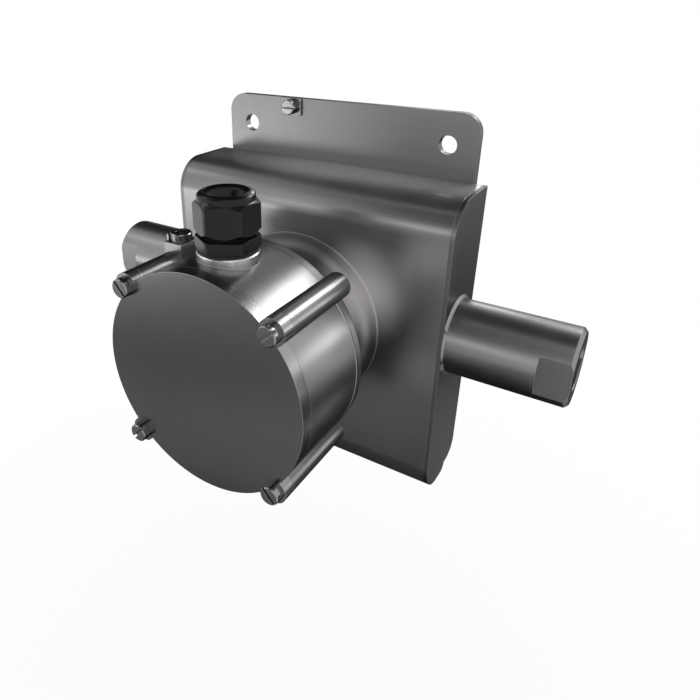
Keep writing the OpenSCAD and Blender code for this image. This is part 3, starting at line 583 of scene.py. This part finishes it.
def seenDirectly(nodes):  # 1 for camera, glossy and transmission rays
    ray = nodes.add("LightPath")
    indirect = ray.maths("MAXIMUM", ray.output("Is Glossy Ray"), ray.output("Is Transmission Ray"))
    return ray.maths("MAXIMUM", ray.output("Is Camera Ray"), indirect)


def addStagePlane(name, vertices, radius, place):
    deselectAll()
    bpy.ops.mesh.primitive_circle_add(vertices=vertices, radius=radius, fill_type="NGON", location=place)
    plane = bpy.context.object
    plane.name = name
    bpy.ops.object.transform_apply(location=True)
    return plane


# white to the camera and to the metal, with a faint shadow under the part
floor = addStagePlane("floor", studio["floorSides"], studio["floorRadius"], (0, 0, studio["floorZ"]))
paper, nodes = newMaterial("palePaper")
parts = nodes.split(nodes.place().scaled(mm))
distance = (parts["X"] * parts["X"] + parts["Y"] * parts["Y"]) ** 0.5
fade = nodes.add("MapRange", {}, {"Value": distance, "From Min": studio["fadeFrom"],
                                  "From Max": studio["fadeTo"], "To Min": 1 - studio["shadowShare"],
                                  "To Max": 1.0})
card = nodes.add("BsdfDiffuse", {}, {"Color": (*[studio["paper"]] * 3, 1)})
glow = nodes.add("Emission", {}, {"Color": white, "Strength": 1.0})
mixed = nodes.add("MixShader", {}, {0: seenDirectly(nodes) * fade, 1: card, 2: glow})
nodes.add("OutputMaterial", {}, {"Surface": mixed})
floor.data.materials.append(paper)

world = bpy.data.worlds.new("studioWorld")
bpy.context.scene.world = world
world.use_nodes = True
nodes = Nodes(world.node_tree)
strength = seenDirectly(nodes) * (1 - studio["worldFill"]) + studio["worldFill"]
sky = nodes.add("Background", {}, {"Color": white, "Strength": strength})
nodes.add("OutputWorld", {}, {"Surface": sky})


def outward(azimuth, elevation):  # azimuth from the front towards the right
    a, e = math.radians(azimuth), math.radians(elevation)
    return Vector((math.sin(a) * math.cos(e), -math.cos(a) * math.cos(e), math.sin(e)))


# lamps: azimuth, elevation, distance, width, height and brightness of the panel
lamps = {
    "backTop": (161, 35, 1.1, 0.34, 0.28, 13),
    "frontLeft": (-44, -12, 1.15, 0.35, 0.3, 4),
    "leftTop": (-70, 41, 1.1, 0.2, 0.12, 3),
    "key": (-9, 13, 1.1, 0.34, 0.12, 1.9),
    "bendFill": (-28, 13, 1.1, 0.36, 0.14, 1.0),
    "pipeTop": (-168, 22, 1.1, 0.3, 0.16, 9),
    "rightBack": (140, -4, 1.2, 0.35, 0.5, 2.1),
}
aimPoint = Vector((0, -0.05, 0.0))
for name, (azimuth, elevation, distance, width, height, brightness) in lamps.items():
    out = outward(azimuth, elevation)
    light = bpy.data.lights.new(name, "AREA")
    light.shape = "RECTANGLE"
    light.size, light.size_y = width, height
    light.energy = brightness * math.pi * width * height
    lamp = bpy.data.objects.new(name, light)
    lamp.location = aimPoint + out * distance
    lamp.rotation_mode = "QUATERNION"
    lamp.rotation_quaternion = out.to_track_quat("Z", "Y")
    bpy.context.scene.collection.objects.link(lamp)
print("lamps set:", len(lamps))

# cards that only the metal sees, as darker parts of its surroundings:
# place, facing, half width, half height, turn and shade
cards = {
    "leftWall": (aimPoint + outward(-125, 26) * 1.3, "part", 0.6, 0.55, 0, 0.025),
    "ceiling": (Vector((-0.1, 0.45, 1.15)), "down", 0.9, 0.75, 0, 0.025),
    "skyFront": (aimPoint + outward(-56, 57) * 1.25, "part", 0.42, 0.3, 0, 0.45),
    "skyRight": (aimPoint + outward(-14, 48) * 1.15, "part", 0.3, 0.58, 0, 0.06),
    "horizon": (aimPoint + outward(-20, -1) * 1.3, "part", 0.27, 0.25, 0, 0.4),
    "floorRight": (Vector((0.35, 0.95, -0.285)), "down", 0.55, 0.85, 0, 0.025),
    "floorEdge": (Vector((0.5, 1.7, -0.284)), "down", 0.35, 0.3, 0, 0.025),
    "floorSide": (Vector((0.16, 0.28, -0.281)), "down", 0.11, 0.11, 0, 0.9),
    "floorPlate": (Vector((-0.62, -1.75, -0.283)), "down", 0.42, 0.36, 0, 0.2),
    "floorBelow": (Vector((-0.1, 0.0, -0.2812)), "down", 0.32, 0.31, 0, 0.025),
    "floorFront": (Vector((-0.06, -0.46, -0.283)), "down", 0.08, 0.3, -16, 0.2),
    "floorFlat": (Vector((0.04, -0.6, -0.2825)), "down", 0.12, 0.42, 0, 0.1),
    "floorFar": (Vector((-0.42, -0.92, -0.282)), "down", 0.24, 0.14, 10, 0.4),
    "floorLid": (Vector((-0.36, -0.5, -0.2815)), "down", 0.36, 0.37, -15, 0.37),
    "floorLidBand": (Vector((-0.31, -0.49, -0.281)), "down", 0.2, 0.07, -15, 0.2),
}
for name, (place, facing, width, height, turn, shade) in cards.items():
    cardPaper, nodes = newMaterial(name + "Paper")
    tone = nodes.add("Emission", {}, {"Color": (shade, shade, shade, 1), "Strength": 1.0})
    nodes.add("OutputMaterial", {}, {"Surface": tone})
    card = addStagePlane(name, studio["cardSides"], 1, (0, 0, 0))
    aim = Matrix.Identity(4)
    if facing == "part":
        aim = (place - aimPoint).to_track_quat("Z", "Y").to_matrix().to_4x4()
    spin = Matrix.Rotation(math.radians(turn), 4, "Z")
    card.data.transform(Matrix.Translation(place) @ aim @ spin @ Matrix.Diagonal((width, height, 1, 1)))
    card.data.materials.append(cardPaper)
    card.visible_camera = card.visible_diffuse = card.visible_shadow = card.visible_transmission = False
print("cards set:", len(cards))

view = {"azimuth": 33.43, "elevation": 24.95, "roll": -0.21, "place": (0.14553, -0.2741, 0.14263),
        "lens": 31.62, "sensor": 36, "shift": (0.091, -0.0897), "nearest": 0.01}
back = outward(view["azimuth"], view["elevation"])
right = Vector((0, 0, 1)).cross(back).normalized()
up = back.cross(right)
roll = math.radians(view["roll"])
across = right * math.cos(roll) + up * math.sin(roll)
upward = up * math.cos(roll) - right * math.sin(roll)
cameraData = bpy.data.cameras.new("studioCamera")
cameraData.sensor_width, cameraData.lens = view["sensor"], view["lens"]
cameraData.shift_x, cameraData.shift_y = view["shift"]
cameraData.clip_start = view["nearest"]
camera = bpy.data.objects.new("studioCamera", cameraData)
facing = Matrix((across, upward, back)).transposed().to_4x4()
camera.matrix_world = Matrix.Translation(view["place"]) @ facing
bpy.context.scene.collection.objects.link(camera)
bpy.context.scene.camera = camera
bpy.context.scene.view_settings.view_transform = "Standard"
print("camera set")
